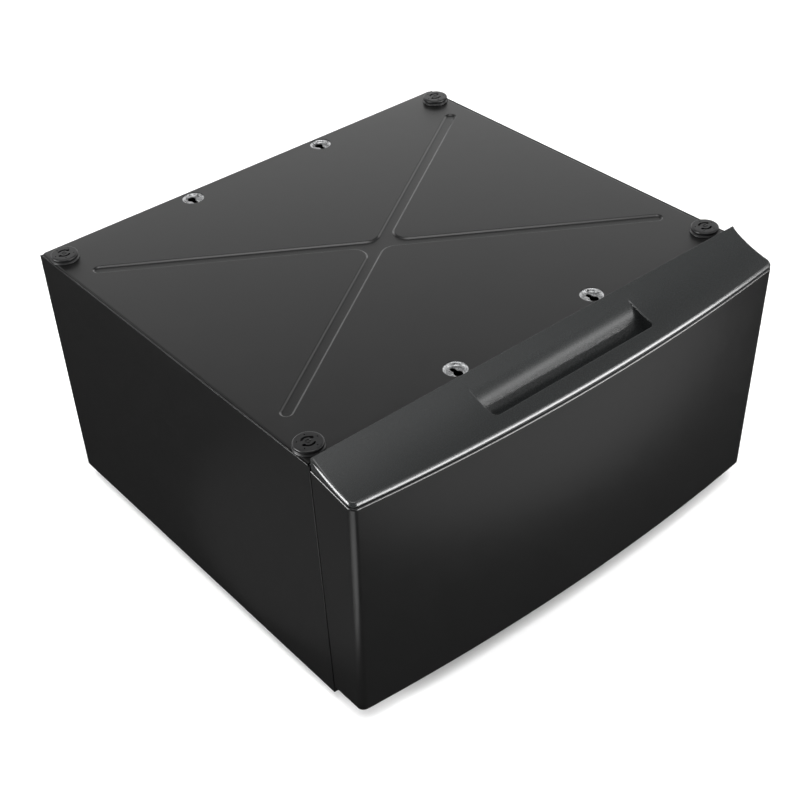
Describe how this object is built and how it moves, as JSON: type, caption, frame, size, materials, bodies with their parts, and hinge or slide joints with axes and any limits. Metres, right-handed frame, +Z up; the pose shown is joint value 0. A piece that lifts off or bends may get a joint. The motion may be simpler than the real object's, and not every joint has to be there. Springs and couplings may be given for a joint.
{
  "type": "laundry pedestal with storage drawer",
  "caption": "Steel pedestal that raises a front load washer, with a full-width storage drawer on ball slides, a finger scoop, keyholes and corner pads on top, and levelling legs.",
  "frame": {"origin": "on the floor, at the middle of the footprint, with the legs screwed in and the drawer shut", "axes": "+X to the user's right, +Y to the back, +Z up; the drawer front faces -Y"},
  "size_m": [0.711, 0.714, 0.4065],
  "materials": {
    "painted_steel": "satin",
    "painted_inner_steel": "satin",
    "galvanised_bracket": "galvanised",
    "slide_steel": "zinc plated",
    "cage_steel": "plain",
    "ball_steel": "polished",
    "plated_fastener": "zinc plated",
    "plated_stud": "zinc plated",
    "foot_plastic": "matte",
    "corner_pad_plastic": "satin",
    "trim_plastic": "satin",
    "bumper_rubber": "matte"
  },
  "bodies": {
    "cabinet": {"top_panel": "painted_steel", "left_side_panel": "painted_steel", "right_side_panel": "painted_steel", "back_panel": "painted_inner_steel", "front_top_rail": "painted_inner_steel", "front_bottom_rail": "painted_inner_steel", "rear_bottom_rail": "painted_inner_steel", "front_mount_bracket": "galvanised_bracket", "rear_mount_bracket": "galvanised_bracket", "corner_pad_front_left": "corner_pad_plastic", "corner_pad_front_right": "corner_pad_plastic", "corner_pad_rear_left": "corner_pad_plastic", "corner_pad_rear_right": "corner_pad_plastic", "leg_plate_front_left": "painted_inner_steel", "leg_plate_front_right": "painted_inner_steel", "leg_plate_rear_left": "painted_inner_steel", "leg_plate_rear_right": "painted_inner_steel", "leg_weld_nuts": "plated_fastener", "leg_lock_nuts": "plated_fastener", "back_panel_screws": "plated_fastener", "drawer_bumpers": "bumper_rubber", "left_slide_support": "painted_inner_steel", "right_slide_support": "painted_inner_steel", "left_slide_outer": "slide_steel", "right_slide_outer": "slide_steel", "outer_slide_screws": "plated_fastener"},
    "drawer": {"left_slide_inner": "slide_steel", "right_slide_inner": "slide_steel", "inner_slide_screws": "plated_fastener", "drawer_front_panel": "painted_steel", "drawer_top_trim": "trim_plastic", "drawer_inner_panel": "painted_inner_steel", "drawer_floor": "painted_inner_steel", "drawer_left_wall": "painted_inner_steel", "drawer_right_wall": "painted_inner_steel", "drawer_back_wall": "painted_inner_steel", "drawer_front_screws": "plated_fastener", "trim_screws": "plated_fastener"},
    "left_middle_member": {"left_slide_middle": "slide_steel"},
    "left_outer_ball_race": {"left_outer_cage": "cage_steel", "left_outer_balls": "ball_steel"},
    "left_inner_ball_race": {"left_inner_cage": "cage_steel", "left_inner_balls": "ball_steel"},
    "right_middle_member": {"right_slide_middle": "slide_steel"},
    "right_outer_ball_race": {"right_outer_cage": "cage_steel", "right_outer_balls": "ball_steel"},
    "right_inner_ball_race": {"right_inner_cage": "cage_steel", "right_inner_balls": "ball_steel"},
    "foot_front_left": {"leg_foot_front_left": "foot_plastic"},
    "stud_front_left": {"leg_stud_front_left": "plated_stud"},
    "foot_front_right": {"leg_foot_front_right": "foot_plastic"},
    "stud_front_right": {"leg_stud_front_right": "plated_stud"},
    "foot_rear_left": {"leg_foot_rear_left": "foot_plastic"},
    "stud_rear_left": {"leg_stud_rear_left": "plated_stud"},
    "foot_rear_right": {"leg_foot_rear_right": "foot_plastic"},
    "stud_rear_right": {"leg_stud_rear_right": "plated_stud"}
  },
  "joints": [
    {"name": "drawer_slide", "type": "slide", "parent": "cabinet", "child": "drawer", "axis": [0, -1, 0], "range_m": [0, 0.46]},
    {"name": "left_middle_member_slide", "type": "slide", "parent": "cabinet", "child": "left_middle_member", "axis": [0, -1, 0], "range_m": [0, 0.23]},
    {"name": "left_outer_ball_race_slide", "type": "slide", "parent": "cabinet", "child": "left_outer_ball_race", "axis": [0, -1, 0], "range_m": [0, 0.115]},
    {"name": "left_inner_ball_race_slide", "type": "slide", "parent": "cabinet", "child": "left_inner_ball_race", "axis": [0, -1, 0], "range_m": [0, 0.345]},
    {"name": "right_middle_member_slide", "type": "slide", "parent": "cabinet", "child": "right_middle_member", "axis": [0, -1, 0], "range_m": [0, 0.23]},
    {"name": "right_outer_ball_race_slide", "type": "slide", "parent": "cabinet", "child": "right_outer_ball_race", "axis": [0, -1, 0], "range_m": [0, 0.115]},
    {"name": "right_inner_ball_race_slide", "type": "slide", "parent": "cabinet", "child": "right_inner_ball_race", "axis": [0, -1, 0], "range_m": [0, 0.345]},
    {"name": "foot_front_left_slide", "type": "slide", "parent": "cabinet", "child": "foot_front_left", "axis": [0, 0, -1], "range_m": [0, 0.02]},
    {"name": "stud_front_left_turn", "type": "hinge", "parent": "foot_front_left", "child": "stud_front_left", "pos_m": [-0.3055, -0.218, 0.03], "axis": [0, 0, -1], "range_deg": [0, 4536]},
    {"name": "foot_front_right_slide", "type": "slide", "parent": "cabinet", "child": "foot_front_right", "axis": [0, 0, -1], "range_m": [0, 0.02]},
    {"name": "stud_front_right_turn", "type": "hinge", "parent": "foot_front_right", "child": "stud_front_right", "pos_m": [0.3055, -0.218, 0.03], "axis": [0, 0, -1], "range_deg": [0, 4536]},
    {"name": "foot_rear_left_slide", "type": "slide", "parent": "cabinet", "child": "foot_rear_left", "axis": [0, 0, -1], "range_m": [0, 0.02]},
    {"name": "stud_rear_left_turn", "type": "hinge", "parent": "foot_rear_left", "child": "stud_rear_left", "pos_m": [-0.3055, 0.312, 0.03], "axis": [0, 0, -1], "range_deg": [0, 4536]},
    {"name": "foot_rear_right_slide", "type": "slide", "parent": "cabinet", "child": "foot_rear_right", "axis": [0, 0, -1], "range_m": [0, 0.02]},
    {"name": "stud_rear_right_turn", "type": "hinge", "parent": "foot_rear_right", "child": "stud_rear_right", "pos_m": [0.3055, 0.312, 0.03], "axis": [0, 0, -1], "range_deg": [0, 4536]}
  ],
  "couplings": [
    {"joint": "left_middle_member_slide", "follows": "drawer_slide", "ratio": 0.5},
    {"joint": "left_outer_ball_race_slide", "follows": "drawer_slide", "ratio": 0.25},
    {"joint": "left_inner_ball_race_slide", "follows": "drawer_slide", "ratio": 0.75},
    {"joint": "right_middle_member_slide", "follows": "drawer_slide", "ratio": 0.5},
    {"joint": "right_outer_ball_race_slide", "follows": "drawer_slide", "ratio": 0.25},
    {"joint": "right_inner_ball_race_slide", "follows": "drawer_slide", "ratio": 0.75},
    {"joint": "stud_front_left_turn", "follows": "foot_front_left_slide", "rad_per_m": 3957.9},
    {"joint": "stud_front_right_turn", "follows": "foot_front_right_slide", "rad_per_m": 3957.9},
    {"joint": "stud_rear_left_turn", "follows": "foot_rear_left_slide", "rad_per_m": 3957.9},
    {"joint": "stud_rear_right_turn", "follows": "foot_rear_right_slide", "rad_per_m": 3957.9}
  ]
}
